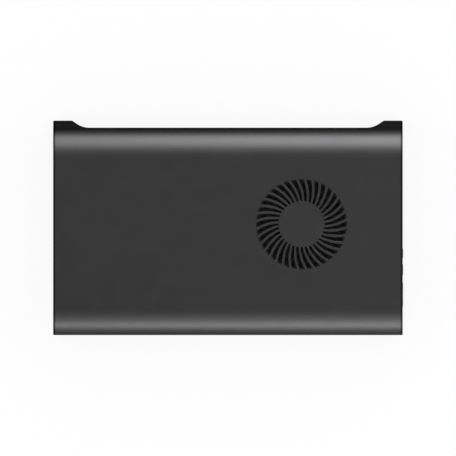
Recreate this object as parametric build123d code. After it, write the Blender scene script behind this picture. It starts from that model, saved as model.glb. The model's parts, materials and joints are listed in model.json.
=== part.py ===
from build123d import *
import os
from dataclasses import dataclass
from math import cos, degrees, radians, sin, sqrt, tan

# External graphics card enclosure, lying flat on its feet.
# X runs along its length, Y along its depth with the exhaust at +Y, and Z is up.
# The origin is under the middle of the body, on the plane of the feet.
# Sizes are in millimetres and angles in degrees.

# Body
length = 196.8
depth = 120.8
height = 32.0
foot_stand = 1.2
wall = 2.0

# Body section: a full round front, and a rear that curves over into a slanted face
rear_radius = 18.0
rear_slope = 70.0
tip_radius = 7.0

# Rear scoop between the two ears
ear_width = 10.6
ear_slope = 33.0
scoop_depth = 4.0
scoop_radius = 12.0
scoop_round = 0.5

# Ends and seam of the two covers
end_round = 0.6
lip_wall = 1.2
seam_height = 0.3
seam_depth = 0.5
tongue_height = 1.2
tongue_thickness = 0.7
tongue_end_gap = 1.0
tongue_window_gap = 3.0
tongue_fit = 0.1

# End panels
panel_thickness = 1.8
panel_recess = 0.6
panel_gap = 0.1

# Swirl intake grille in the top cover, over the blower at a share of the length
fan_share = 0.21057
fan_y = 2.05
grille_inner_radius = 12.9
grille_outer_radius = 25.6
grille_slots = 36
slot_share_inner = 0.54
slot_share_outer = 0.65
swirl_middle = 4.8
swirl_outer = 11.2

# Intake slots in the bottom cover
vent_width = 2.6
vent_length = 20.0
vent_pitch = 4.6
vent_row_offset = 12.5
vents_in_row = 10

# Exhaust window and its grille
exhaust_length = 148.0
exhaust_height = 9.6
exhaust_sill = 2.3
exhaust_corner = 1.5
exhaust_inset = 0.6
exhaust_fit = 0.1
exhaust_frame = 1.4
exhaust_slot = 2.6
exhaust_bar = 1.6
flange_width = 1.2
flange_thickness = 1.0

# Rubber feet and the screws under them
foot_diameter = 12.0
foot_recess = 0.8
foot_edge = 0.5
foot_fit = 0.1
foot_end_inset = 20.4
foot_front_inset = 22.2
foot_rear_inset = 16.2
post_diameter = 7.0

# Screws
screw_diameter = 2.5
screw_head_diameter = 4.4
screw_head_height = 1.6
screw_engagement = 6.0
thread_gap = 0.05
through_gap = 0.2
head_gap = 0.2
hole_spare = 0.4

# Mainboard
standoff_height = 3.0
board_thickness = 1.6
board_end_gap = 1.5
board_into_front = 7.0
board_rear_gap = 1.0
board_fan_gap = 1.0
board_corner = 3.0
board_post_gap = 0.6
board_boss_diameter = 5.2
board_screw_inset = 30.4
board_screw_edge = 7.0
board_strip_screw = 4.0
board_strip_screw_y = -8.0

# Graphics chip, memory and power stage
package_share = 0.5
package_gap = 0.5
package_thickness = 1.2
die_length = 18.0
die_width = 14.0
die_thickness = 0.8
memory_length = 14.0
memory_thickness = 1.1
memory_gap = 2.0
memory_border = 3.0
pad_border = 1.0
inductor_size = 7.0
inductor_height = 4.0
inductor_corner = 0.8
inductor_gap = 2.0
inductor_count = 5
capacitor_diameter = 6.3
capacitor_height = 6.0
capacitor_count = 4
power_gap = 2.5

# Cold plate, heat pipes and fins
plate_width = 48.0
plate_thickness = 3.0
plate_corner = 3.0
plate_fan_gap = 5.0
cooler_y = 2.0
spacer_inset = 4.0
spacer_pipe_gap = 2.0
spacer_diameter = 5.0
pipe_width = 5.6
pipe_height = 3.0
pipe_bend = 9.0
pipe_plate_pitch = 11.0
pipe_gap = 0.8
pipe_end_gap = 3.0
fin_depth = 12.7
fin_thickness = 0.4
fin_pitch = 2.6
fin_base = 0.8
fin_post_gap = 1.5
fin_grille_gap = 0.3
fin_rib_height = 1.0
fin_rib_width = 3.0
fin_rib_inset = 12.0

# Blower casing
fan_radius = 33.0
fan_wall = 1.4
fan_boss_height = 1.2
fan_plate = 1.2
fan_inlet_radius = 24.5
fan_outlet_gap = 0.5
fan_outlet_height = 12.0
fan_roof_run = 9.0
fan_lug_diameter = 6.4
fan_lug_height = 3.0
fan_lug_bite = 0.6
fan_lug_angles = (225.0, 315.0)
fan_rest_width = 4.0
fan_core_radius = 12.5
fan_spoke = 5.0
gasket_thickness = 1.6
gasket_width = 3.0
gasket_inset = 1.1

# Blower rotor and motor
rotor_radius = 27.0
rotor_base_gap = 2.4
rotor_cover_gap = 2.2
hub_radius = 11.5
hub_wall = 1.2
hub_cap = 1.4
hub_boss_radius = 2.6
hub_boss_length = 4.0
hub_boss_gap = 0.6
blade_count = 31
blade_thickness = 0.8
blade_root = 0.4
blade_lean_middle = -9.0
blade_lean_outer = -22.0
disc_thickness = 1.0
disc_inset = 1.0
shaft_radius = 1.0
shaft_end_gap = 0.2
shaft_cover = 0.6
bearing_radius = 2.2
bearing_clearance = 0.02
tube_radius = 3.2
collar_radius = 4.4
stator_base_gap = 3.4
stator_height = 6.0
stator_poles = 9
stator_core_radius = 5.0
stator_pole_width = 1.8
stator_shoe_width = 4.2
stator_shoe_depth = 1.0
coil_thickness = 0.5
coil_gap = 0.1
magnet_thickness = 1.0
magnet_height = 7.0
magnet_gap = 0.6
magnet_base_gap = 0.4

# Push buttons on the right end, placed by shares of the depth from its middle
power_button_share = -0.118
mode_button_share = -0.195
power_button_radius = 3.0
mode_button_radius = 3.3
button_above_board = 4.6
button_proud = 0.25
button_gap = 0.15
button_edge = 0.4
button_travel = 0.4
button_flange = 1.0
button_stem_radius = 1.5
button_stem_length = 3.0
mark_radius = 1.45
mark_line = 0.35
mark_gap = 1.1
mark_bar = 1.5
mark_depth = 0.15
switch_gap = 0.3
switch_depth = 4.0
switch_width = 6.0
switch_height = 7.0
switch_plunger_radius = 1.3
switch_plunger_length = 0.6

# Sockets, placed by shares of the depth from its middle
shell_wall = 0.4
cutout_gap = 0.25
socket_reach = 0.2
tongue_setback = 0.8
type_a_share = -0.3121
type_a_width = 13.5
type_a_height = 15.6
type_a_length = 14.0
type_a_cavity = 9.0
type_a_web = 4.2
type_a_tongue_width = 11.0
type_a_tongue_thickness = 1.9
type_a_tongue_rise = 1.0
type_c_share = 0.0
type_c_width = 9.0
type_c_height = 3.3
type_c_length = 8.0
type_c_cavity = 6.2
type_c_tongue_width = 6.7
type_c_tongue_thickness = 0.7
link_share = 0.108
link_width = 14.0
link_height = 4.8
link_length = 12.0
link_cavity = 7.0
link_tongue_width = 10.6
link_tongue_thickness = 1.0
network_share = 0.2492
network_width = 16.0
network_height = 13.5
network_length = 15.0
network_cavity = 11.5
network_port_width = 11.8
network_port_height = 8.0
network_port_drop = 0.6
network_key_width = 6.2
network_key_height = 1.8
video_shares = (-0.3032, -0.1453)
video_width = 15.0
video_height = 5.6
video_length = 12.0
video_cavity = 8.6
video_taper_width = 2.0
video_taper_height = 2.0
video_tongue_width = 10.4
video_tongue_thickness = 1.2
display_shares = (0.0166, 0.1869)
display_width = 16.6
display_height = 5.6
display_length = 12.5
display_cavity = 9.0
display_notch = 2.2
display_tongue_width = 11.6
display_tongue_thickness = 1.3
power_share = 0.3322
power_width = 10.0
power_height = 11.0
power_length = 12.0
power_bore_radius = 3.3
power_cavity = 9.5
power_pin_radius = 1.25
power_pin_root = 1.0

# Room by which a cutting shape runs past the surface it cuts
overcut = 4.0

# Levels and places worked out from the sizes above
end_x = length / 2
panel_x = end_x - panel_recess
shoulder_x = panel_x - panel_thickness
rear_tip_y = depth / 2
front_radius = (height - foot_stand) / 2
front_y = front_radius - depth / 2
parting_z = foot_stand + front_radius
floor_z = foot_stand + wall
ceiling_z = height - wall
scoop_y = rear_tip_y - scoop_depth
scoop_inner_y = scoop_y - wall
exhaust_z = floor_z + exhaust_sill + exhaust_height / 2

foot_x = end_x - foot_end_inset
foot_front_y = foot_front_inset - depth / 2
foot_rear_y = rear_tip_y - foot_rear_inset
foot_places = [(x, y) for x in (-foot_x, foot_x) for y in (foot_front_y, foot_rear_y)]
foot_top_z = foot_stand + foot_recess
post_radius = post_diameter / 2
cover_shoulder_z = foot_top_z + head_gap + screw_head_height
screw_radius = screw_diameter / 2
pilot_radius = screw_radius + thread_gap
through_radius = screw_radius + through_gap
head_bore_radius = screw_head_diameter / 2 + through_gap

fin_rear_y = scoop_inner_y - flange_thickness - fin_grille_gap
fin_front_y = fin_rear_y - fin_depth
fin_half = foot_x - post_radius - fin_post_gap
fin_z = floor_z + fin_rib_height

fan_x = fan_share * length
fan_left = fan_x - fan_radius
fan_right = fan_x + fan_radius
fan_front_y = fan_y - fan_radius
fan_outlet_y = fin_front_y - fan_outlet_gap
fan_z = floor_z + fan_boss_height
fan_base_z = fan_z + fan_plate
fan_top_z = ceiling_z - gasket_thickness
fan_cover_z = fan_top_z - fan_plate
fan_lug_reach = fan_radius + fan_lug_diameter / 2 - fan_lug_bite
rotor_z = fan_base_z + rotor_base_gap
rotor_top_z = fan_cover_z - rotor_cover_gap
tube_top_z = rotor_top_z - hub_cap - hub_boss_length - hub_boss_gap
stator_z = fan_base_z + stator_base_gap
magnet_radius = hub_radius - hub_wall
stator_radius = magnet_radius - magnet_thickness - magnet_gap

board_z = floor_z + standoff_height
board_top_z = board_z + board_thickness
board_x = shoulder_x - board_end_gap
board_front_y = front_y - board_into_front
board_rear_y = fin_front_y - board_rear_gap
board_cut_left = fan_left - board_fan_gap
board_cut_right = fan_right + board_fan_gap
board_cut_y = fan_front_y - board_fan_gap
plate_z = board_top_z + package_thickness + die_thickness
pipe_z = plate_z + plate_thickness
pipe_pitch = pipe_width + pipe_gap
capacitor_x = display_length - panel_x - socket_reach + power_gap + capacitor_diameter / 2
inductor_x = capacitor_x + (capacitor_diameter + inductor_size) / 2 + power_gap
inductor_pitch = inductor_size + inductor_gap
plate_left = inductor_x + inductor_size / 2 + power_gap
plate_right = fan_left - plate_fan_gap
plate_length = plate_right - plate_left
cooler_x = (plate_left + plate_right) / 2
package_length = package_share * plate_length
package_width = plate_width - 2 * (spacer_inset + package_gap) - spacer_diameter
memory_width = (plate_length - package_length) / 2 - memory_gap - memory_border
board_screw_x = end_x - board_screw_inset
board_screw_front_y = board_front_y + board_screw_edge
board_screw_rear_y = board_rear_y - board_screw_edge
board_screw_places = [
    (-board_screw_x, board_screw_front_y),
    (0, board_screw_front_y),
    (board_screw_x, board_screw_front_y),
    (-board_screw_x, board_screw_rear_y),
    (cooler_x + package_length / 2, board_screw_rear_y),
    (board_cut_right + board_strip_screw, board_strip_screw_y),
]
pipe_inner_bend = pipe_bend - pipe_width / 2
pipe_reach = pipe_inner_bend - fan_outlet_gap / 2
pipe_side = pipe_inner_bend - fan_outlet_gap
pipe_rise_x = fan_left - pipe_bend + sqrt(pipe_reach**2 - pipe_side**2)
pipe_left_x = pipe_rise_x - 2 * pipe_pitch - pipe_width / 2
spacer_left_x = cooler_x - package_length / 2 + spacer_inset
spacer_right_x = pipe_left_x - spacer_pipe_gap - screw_head_diameter / 2
spacer_reach_y = plate_width / 2 - spacer_inset
spacer_places = [
    (x, cooler_y + y) for x in (spacer_left_x, spacer_right_x) for y in (-spacer_reach_y, spacer_reach_y)
]

power_button_y = power_button_share * depth
mode_button_y = mode_button_share * depth
button_z = board_top_z + button_above_board
stem_end_x = shoulder_x - button_flange - button_stem_length
switch_x = stem_end_x - button_travel - switch_gap - switch_plunger_length


def polar(radius, angle):
    """Point at a radius and an angle about the local origin."""
    return (radius * cos(radians(angle)), radius * sin(radians(angle)))


def block(x_span, y_span, z_span):
    """Box between two limits on each axis."""
    spans = (x_span, y_span, z_span)
    size = [high - low for low, high in spans]
    centre = [(high + low) / 2 for low, high in spans]
    return Pos(*centre) * Box(*size)


def rod(radius, low, high, place=(0, 0)):
    """Upright cylinder between two levels."""
    return Pos(place[0], place[1], (low + high) / 2) * Cylinder(radius, high - low)


def slab(face, low, high):
    """Upright extrusion of a plan outline between two levels."""
    return extrude(Pos(0, 0, low) * face, high - low)


def vane(inner, outer, leans, halves):
    """Curved radial outline: leans are its turns, and halves its half angles, at three radii."""
    radii = (inner, (inner + outer) / 2, outer)
    left = [polar(r, lean + half) for r, lean, half in zip(radii, leans, halves)]
    right = [polar(r, lean - half) for r, lean, half in zip(radii, leans, halves)]
    edges = [
        ThreePointArc(*left),
        ThreePointArc(left[-1], polar(outer, leans[-1]), right[-1]),
        ThreePointArc(*right),
        ThreePointArc(left[0], polar(inner, leans[0]), right[0]),
    ]
    return make_face(edges)


def screw(seat_z, shank_length, place, upward):
    """Plain screw whose head bears on a seat and whose shank runs up or down from it."""
    way = 1 if upward else -1
    head_end = seat_z - way * screw_head_height
    shank_end = seat_z + way * shank_length
    head = rod(screw_head_diameter / 2, min(seat_z, head_end), max(seat_z, head_end), place)
    return head + rod(screw_radius, min(seat_z, shank_end), max(seat_z, shank_end), place)


# Housing


def section(inset):
    """Body section in the YZ plane, drawn in from the outer skin by an inset."""
    normal = 90 - rear_slope
    tip = (rear_tip_y - tip_radius, foot_stand + tip_radius)
    fall = (tip[1] - height + rear_radius) * cos(radians(rear_slope)) + tip_radius - rear_radius
    rear = (tip[0] + fall / sin(radians(rear_slope)), height - rear_radius)
    front_arc = CenterArc((front_y, parting_z), front_radius - inset, 90, 180)
    tip_arc = CenterArc(tip, tip_radius - inset, -90, 180 - rear_slope)
    rear_arc = CenterArc(rear, rear_radius - inset, normal, rear_slope)
    floor = Line(front_arc @ 1, tip_arc @ 0)
    slant = Line(tip_arc @ 1, rear_arc @ 0)
    roof = Line(rear_arc @ 1, front_arc @ 0)
    return Plane.YZ * make_face([front_arc, floor, tip_arc, slant, rear_arc, roof])


def scoop(inset):
    """Room between the ears behind the body, carried into the body by an inset."""
    slope = radians(ear_slope)
    ramp_run = (scoop_depth - scoop_radius * (1 - cos(slope))) / tan(slope)
    centre_x = end_x - ear_width - ramp_run - scoop_radius * sin(slope)
    arc = CenterArc((centre_x, scoop_y + scoop_radius), scoop_radius + inset, -90, ear_slope)
    start = arc @ 1
    rise = rear_tip_y + overcut - start.Y
    ramp = Line(start, start + Vector(rise / tan(slope), rise))
    right = [arc, ramp]
    left = [edge.mirror(Plane.YZ) for edge in right]
    flat = Line(left[0] @ 0, arc @ 0)
    back = Line(left[1] @ 1, ramp @ 1)
    return slab(make_face([flat, back, *right, *left]), 0, height)


def body(inset):
    """Body drawn in from its outer skin by an inset, open to the ends."""
    return extrude(section(inset), end_x, both=True) - scoop(inset)


def outer_body():
    """Outer form of the closed housing, with its rounded end edges and scoop rim."""
    sleeve = extrude(section(0), end_x, both=True)
    cutter = scoop(0)
    scooped = sleeve - cutter
    rounded = fillet(new_edges(sleeve, cutter, combined=scooped), scoop_round)
    ends = rounded.faces().filter_by(Axis.X).sort_by(Axis.X)
    return fillet(ends[0].edges() + ends[-1].edges(), end_round)


def lug_places():
    """Plan positions of the blower's screw lugs."""
    reaches = [polar(fan_lug_reach, angle) for angle in fan_lug_angles]
    return [(fan_x + x, fan_y + y) for x, y in reaches]


def inner_supports():
    """Posts, bosses and ribs that stand in the cavity."""
    posts = [rod(post_radius, 0, height, place) for place in foot_places]
    bosses = [rod(board_boss_diameter / 2, 0, board_z, place) for place in board_screw_places]
    seats = [rod(fan_lug_diameter / 2, 0, fan_z, place) for place in lug_places()]
    rib_x = fin_half - fin_rib_inset
    ribs = [
        block((x - fin_rib_width / 2, x + fin_rib_width / 2), (fin_front_y, fin_rear_y), (0, fin_z))
        for x in (-rib_x, rib_x)
    ]
    rest_x = (fan_x - fan_rest_width, fan_x + fan_rest_width)
    rest = block(rest_x, (fan_outlet_y - fan_rest_width, fan_outlet_y), (0, fan_z))
    return posts + bosses + seats + ribs + [rest]


def housing():
    """Both covers as one hollow body, before it is parted."""
    hollow = outer_body() - (body(wall) - inner_supports())
    rebate = extrude(section(lip_wall), panel_recess + panel_thickness)
    hollow -= Pos(shoulder_x, 0, 0) * rebate
    return hollow - Pos(-end_x, 0, 0) * rebate


def seam_tongue(grow):
    """Tongue of the top cover inside the bottom cover's wall, broken at the exhaust and grown by a fit."""
    ring = body(wall - tongue_thickness - grow) - body(wall)
    reach = shoulder_x - tongue_end_gap + grow
    levels = (parting_z - tongue_height - grow, parting_z)
    break_x = exhaust_length / 2 + tongue_window_gap - grow
    tongue = ring & block((-reach, reach), (-depth, depth), levels)
    return tongue - block((-break_x, break_x), (0, depth), levels)


def grille_cuts():
    """Swirl of slots through the top cover."""
    pitch = 360 / grille_slots
    shares = (slot_share_inner, (slot_share_inner + slot_share_outer) / 2, slot_share_outer)
    slot = vane(
        grille_inner_radius,
        grille_outer_radius,
        (0, swirl_middle, swirl_outer),
        [share * pitch / 2 for share in shares],
    )
    ring = Sketch() + [place * slot for place in PolarLocations(0, grille_slots)]
    return slab(Pos(fan_x, fan_y) * ring, ceiling_z - overcut, height + overcut)


def top_cover(shell):
    """Upper half of the housing with the intake grille, screw bosses and seam tongue."""
    cover = split(shell, Plane.XY.offset(parting_z), keep=Keep.TOP)
    pilot_top_z = parting_z + screw_engagement + hole_spare
    pilots = [rod(pilot_radius, parting_z, pilot_top_z, place) for place in foot_places]
    return cover + seam_tongue(0) - grille_cuts() - pilots


def bottom_cover(shell):
    """Lower half of the housing with the exhaust window, vents, foot recesses and screw bores."""
    cover = split(shell, Plane.XY.offset(parting_z), keep=Keep.BOTTOM)
    band = block((-length, length), (-depth, depth), (parting_z - seam_height, parting_z))
    cover -= band - body(seam_depth)
    cover -= seam_tongue(tongue_fit)
    cover -= exhaust_window()
    for place in foot_places:
        cover -= rod(foot_diameter / 2 + foot_fit, 0, foot_top_z, place)
        cover -= rod(head_bore_radius, 0, cover_shoulder_z, place)
        cover -= rod(through_radius, 0, parting_z, place)
    for place in board_screw_places:
        cover -= rod(pilot_radius, board_z - standoff_height, board_z, place)
    for place in lug_places():
        cover -= rod(pilot_radius, fan_z - fan_boss_height - hole_spare, fan_z, place)
    vent = SlotOverall(vent_length, vent_width, rotation=90)
    vents = Sketch() + [
        place * vent for place in GridLocations(vent_pitch, 2 * vent_row_offset, vents_in_row, 2)
    ]
    return cover - slab(Pos(fan_x, fan_y) * vents, 0, floor_z)


def exhaust_window():
    """Opening through the scoop's wall for the exhaust grille."""
    plane = Plane((0, scoop_y, exhaust_z), x_dir=(-1, 0, 0), z_dir=(0, 1, 0))
    outline = RectangleRounded(exhaust_length, exhaust_height, exhaust_corner)
    return extrude(plane * outline, overcut, both=True)


def exhaust_grille():
    """Barred insert whose flange bears on the inside of the scoop's wall."""
    plane = Plane((0, scoop_inner_y, exhaust_z), x_dir=(-1, 0, 0), z_dir=(0, 1, 0))
    face = RectangleRounded(
        exhaust_length - 2 * exhaust_fit, exhaust_height - 2 * exhaust_fit, exhaust_corner
    )
    rim = RectangleRounded(
        exhaust_length + 2 * flange_width, exhaust_height + 2 * flange_width, exhaust_corner
    )
    pitch = exhaust_slot + exhaust_bar
    count = int((exhaust_length - 2 * exhaust_frame) // pitch)
    slot = Rectangle(exhaust_slot, exhaust_height - 2 * exhaust_frame)
    slots = GridLocations(pitch, 0, count, 1) * slot
    plate = extrude(plane * face, wall - exhaust_inset)
    plate += extrude(plane * rim, -flange_thickness)
    return plate - extrude(plane * (Sketch() + slots), overcut, both=True)


def end_panel(side, holes):
    """Flat port plate that seats on the shoulder inside one end of the covers."""
    start = shoulder_x if side > 0 else -panel_x
    plate = Pos(start, 0, 0) * extrude(section(lip_wall + panel_gap), panel_thickness)
    return plate - holes


def rubber_feet():
    """Four round feet set into the bottom cover."""
    feet = []
    for place in foot_places:
        foot = rod(foot_diameter / 2, 0, foot_top_z, place)
        feet.append(chamfer(foot.edges().sort_by(Axis.Z)[0], foot_edge))
    return Part() + feet


def cover_screws():
    """Four screws that draw the covers together from under the feet."""
    reach = parting_z + screw_engagement - cover_shoulder_z
    return Part() + [screw(cover_shoulder_z, reach, place, True) for place in foot_places]


# Mainboard and chips


def mainboard():
    """Board that wraps round the blower on three sides."""
    outline = block((-board_x, board_x), (board_front_y, board_rear_y), (board_z, board_top_z))
    outline = fillet(outline.edges().filter_by(Axis.Z), board_corner)
    bay = (board_cut_left, board_cut_right)
    outline -= block(bay, (board_cut_y, board_rear_y + overcut), (board_z, board_top_z))
    for place in foot_places:
        outline -= rod(post_radius + board_post_gap, board_z, board_top_z, place)
    for place in board_screw_places + spacer_places:
        outline -= rod(through_radius, board_z, board_top_z, place)
    return outline


def board_screws():
    """Screws that hold the mainboard to its bosses."""
    shank = board_thickness + standoff_height - hole_spare
    return Part() + [screw(board_top_z, shank, place, False) for place in board_screw_places]


def chip(size_x, size_y, thickness, centre, level):
    """Flat rectangular chip on a level."""
    return slab(Pos(*centre) * Rectangle(size_x, size_y), level, level + thickness)


def graphics_package():
    """Carrier of the graphics chip."""
    return chip(package_length, package_width, package_thickness, (cooler_x, cooler_y), board_top_z)


def graphics_die():
    """Bare chip on its carrier, under the cold plate."""
    level = board_top_z + package_thickness
    return chip(die_length, die_width, die_thickness, (cooler_x, cooler_y), level)


def memory_places():
    """Plan positions of the memory chips on either side of the graphics chip."""
    reach_x = package_length / 2 + memory_gap + memory_width / 2
    reach_y = (memory_length + memory_gap) / 2
    return [(cooler_x + sx * reach_x, cooler_y + sy * reach_y) for sx in (-1, 1) for sy in (-1, 1)]


def memory_chips():
    """Four memory chips."""
    size = (memory_width, memory_length, memory_thickness)
    return Part() + [chip(*size, centre, board_top_z) for centre in memory_places()]


def thermal_pads():
    """Soft pads between the memory chips and the cold plate."""
    low = board_top_z + memory_thickness
    size_x = memory_width - 2 * pad_border
    size_y = memory_length - 2 * pad_border
    return Part() + [chip(size_x, size_y, plate_z - low, centre, low) for centre in memory_places()]


def power_inductors():
    """Row of moulded inductors beside the cold plate."""
    outline = RectangleRounded(inductor_size, inductor_size, inductor_corner)
    coil = slab(outline, board_top_z, board_top_z + inductor_height)
    row = GridLocations(0, inductor_pitch, 1, inductor_count)
    return Part() + [Pos(inductor_x, cooler_y, 0) * place * coil for place in row]


def power_capacitors():
    """Row of round capacitors beside the inductors."""
    can = rod(capacitor_diameter / 2, board_top_z, board_top_z + capacitor_height)
    row = GridLocations(0, inductor_pitch, 1, capacitor_count)
    return Part() + [Pos(capacitor_x, cooler_y, 0) * place * can for place in row]


# Cooler


def cold_plate():
    """Copper plate over the graphics chip and memory."""
    outline = Pos(cooler_x, cooler_y) * RectangleRounded(plate_length, plate_width, plate_corner)
    plate = slab(outline, plate_z, pipe_z)
    return plate - [rod(through_radius, plate_z, pipe_z, place) for place in spacer_places]


def cooler_spacers():
    """Spacers that set the cold plate's height over the board."""
    spacers = []
    for place in spacer_places:
        tube = rod(spacer_diameter / 2, board_top_z, plate_z, place)
        spacers.append(tube - rod(through_radius, board_top_z, plate_z, place))
    return Part() + spacers


def cooler_screws():
    """Screws that pull the cold plate down on its spacers."""
    shank = pipe_z - board_z
    return Part() + [screw(pipe_z, shank, place, False) for place in spacer_places]


def heat_pipe(row, lane, way):
    """Flattened pipe from a row on the cold plate to a lane on the fins, then along them one way."""
    rise_x = pipe_rise_x - row * pipe_pitch
    plate_y = cooler_y + (row - 1) * pipe_plate_pitch
    fin_y = fin_front_y + pipe_width / 2 + lane * pipe_pitch
    points = [
        (plate_left + spacer_inset, plate_y),
        (rise_x, plate_y),
        (rise_x, fin_y),
        (way * (fin_half - pipe_end_gap), fin_y),
    ]
    level = pipe_z + pipe_height / 2
    path = FilletPolyline(*[(x, y, level) for x, y in points], radius=pipe_bend)
    start = Plane(path @ 0, x_dir=(0, 1, 0), z_dir=path % 0)
    return sweep(start * SlotOverall(pipe_width, pipe_height), path)


def heat_pipes():
    """Two pipes to the right half of the fins and one to the left half."""
    return Part() + [heat_pipe(0, 0, 1), heat_pipe(1, 1, 1), heat_pipe(2, 0, -1)]


def fin_stack():
    """Comb of fins that hangs from a base strip under the heat pipes."""
    width = 2 * fin_half
    count = int(width // fin_pitch)
    strip = Pos(0, pipe_z - fin_base / 2) * Rectangle(width, fin_base)
    tooth = Pos(0, (pipe_z + fin_z) / 2) * Rectangle(fin_thickness, pipe_z - fin_z)
    comb = strip + [place * tooth for place in GridLocations(fin_pitch, 0, count, 1)]
    plane = Plane((0, fin_rear_y, 0), x_dir=(1, 0, 0), z_dir=(0, -1, 0))
    return extrude(plane * comb, fin_depth)


# Blower


def fan_plan(inset, outlet_y):
    """Plan of the blower casing: a round chamber that opens into a full width outlet."""
    radius = fan_radius - inset
    chamber = Pos(fan_x, fan_y) * Circle(radius)
    mid_y = (fan_y + outlet_y) / 2
    return chamber + Pos(fan_x, mid_y) * Rectangle(2 * radius, outlet_y - fan_y)


def fan_envelope(drop):
    """Outer form of the blower casing, with its roof sloping down to the fins, lowered by a drop."""
    full = slab(fan_plan(0, fan_outlet_y), fan_z, fan_top_z - drop)
    low_z = fan_z + fan_outlet_height - drop
    high_z = fan_top_z - drop
    bend_y = fan_outlet_y - fan_roof_run
    over = Polyline(
        (bend_y, high_z), (fan_outlet_y, low_z), (fan_outlet_y + overcut, low_z),
        (fan_outlet_y + overcut, high_z + overcut), (bend_y, high_z + overcut), close=True,
    )
    return full - Pos(fan_x, 0, 0) * extrude(Plane.YZ * make_face(over), fan_radius + overcut, both=True)


def fan_housing():
    """Blower casing with its lugs, lower inlet, spokes and bearing tube."""
    casing = fan_envelope(fan_plate)
    casing -= slab(fan_plan(fan_wall, fan_outlet_y + overcut), fan_base_z, fan_top_z)
    spokes = Rectangle(fan_spoke, 2 * fan_radius) + Rectangle(2 * fan_radius, fan_spoke)
    inlet = Circle(fan_inlet_radius) - Circle(fan_core_radius) - spokes
    casing -= slab(Pos(fan_x, fan_y) * inlet, fan_z, fan_base_z)
    chamber = rod(fan_radius - fan_wall, fan_z, fan_z + fan_lug_height, (fan_x, fan_y))
    for place in lug_places():
        lug = rod(fan_lug_diameter / 2, fan_z, fan_z + fan_lug_height, place) - chamber
        casing += lug - rod(through_radius, fan_z, fan_z + fan_lug_height, place)
    tube = rod(tube_radius, fan_base_z, tube_top_z) + rod(collar_radius, fan_base_z, stator_z)
    return casing + Pos(fan_x, fan_y, 0) * (tube - rod(bearing_radius, fan_base_z, tube_top_z))


def fan_cover():
    """Roof of the blower casing with its inlet."""
    roof = fan_envelope(0) - fan_envelope(fan_plate)
    return roof - rod(fan_inlet_radius, fan_cover_z, fan_top_z, (fan_x, fan_y))


def inlet_gasket():
    """Foam ring between the blower and the top cover."""
    inner = grille_outer_radius + gasket_inset
    ring = Circle(inner + gasket_width) - Circle(inner)
    return slab(Pos(fan_x, fan_y) * ring, fan_top_z, ceiling_z)


def fan_screws():
    """Screws through the blower's lugs."""
    seat = fan_z + fan_lug_height
    shank = fan_lug_height + fan_boss_height
    return Part() + [screw(seat, shank, place, False) for place in lug_places()]


def fan_bearing():
    """Sleeve bearing in the casing's tube."""
    sleeve = rod(bearing_radius, fan_base_z, tube_top_z)
    bore = rod(shaft_radius + bearing_clearance, fan_base_z, tube_top_z)
    return Pos(fan_x, fan_y, 0) * (sleeve - bore)


def fan_stator():
    """Motor core of poles with shoes, on the collar of the bearing tube."""
    pole_mid = (stator_radius + tube_radius) / 2
    pole = Pos(pole_mid, 0) * Rectangle(stator_radius - tube_radius, stator_pole_width)
    shoe = Pos(stator_radius - stator_shoe_depth / 2, 0) * Rectangle(stator_shoe_depth, stator_shoe_width)
    arms = [place * (pole + shoe) for place in PolarLocations(0, stator_poles)]
    core = (Circle(stator_core_radius) + arms) & Circle(stator_radius)
    return slab(Pos(fan_x, fan_y) * (core - Circle(tube_radius)), stator_z, stator_z + stator_height)


def stator_windings():
    """Copper coils wound round the motor's poles."""
    along = (stator_core_radius + coil_gap, stator_radius - stator_shoe_depth - coil_gap)
    top_z = stator_z + stator_height
    half = stator_pole_width / 2
    reach = half + coil_thickness
    coil = block(along, (-reach, reach), (stator_z - coil_thickness, top_z + coil_thickness))
    coil -= block(along, (-half, half), (stator_z, top_z))
    return Part() + [Pos(fan_x, fan_y, 0) * place * coil for place in PolarLocations(0, stator_poles)]


def fan_rotor():
    """Hub cup with curved blades on both sides of a middle disc."""
    cup = rod(hub_radius, rotor_z, rotor_top_z) - rod(magnet_radius, rotor_z, rotor_top_z - hub_cap)
    cup += rod(hub_boss_radius, rotor_top_z - hub_cap - hub_boss_length, rotor_top_z - hub_cap)
    cup -= rod(shaft_radius, rotor_z, rotor_top_z - shaft_cover)
    middle_z = (rotor_z + rotor_top_z) / 2
    disc = rod(rotor_radius - disc_inset, middle_z - disc_thickness / 2, middle_z + disc_thickness / 2)
    disc -= rod(magnet_radius, rotor_z, rotor_top_z)
    root = hub_radius - blade_root
    radii = (root, (root + rotor_radius) / 2, rotor_radius)
    halves = [degrees(blade_thickness / (2 * radius)) for radius in radii]
    outline = vane(root, rotor_radius, (0, blade_lean_middle, blade_lean_outer), halves)
    blades = Sketch() + [place * outline for place in PolarLocations(0, blade_count)]
    return Pos(fan_x, fan_y, 0) * (cup + disc + slab(blades, rotor_z, rotor_top_z))


def rotor_magnet():
    """Ring magnet lining the hub cup."""
    low = rotor_z + magnet_base_gap
    ring = Circle(magnet_radius) - Circle(magnet_radius - magnet_thickness)
    return slab(Pos(fan_x, fan_y) * ring, low, low + magnet_height)


def fan_shaft():
    """Shaft fixed in the hub's boss and running in the sleeve bearing."""
    return rod(shaft_radius, fan_base_z + shaft_end_gap, rotor_top_z - shaft_cover, (fan_x, fan_y))


# Buttons


def along_x(radius, low, high, y):
    """Cylinder along X at the buttons' level."""
    middle = (low + high) / 2
    return Pos(middle, y, button_z) * Rot(0, 90, 0) * Cylinder(radius, high - low)


def push_button(y, radius):
    """Button cap with a flange behind the right end panel and a stem towards its switch."""
    cap = along_x(radius, shoulder_x, end_x + button_proud, y)
    cap = chamfer(cap.edges().sort_by(Axis.X)[-1], button_edge)
    flange = along_x(radius + button_flange, shoulder_x - button_flange, shoulder_x, y)
    return cap + flange + along_x(button_stem_radius, stem_end_x, shoulder_x - button_flange, y)


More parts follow.
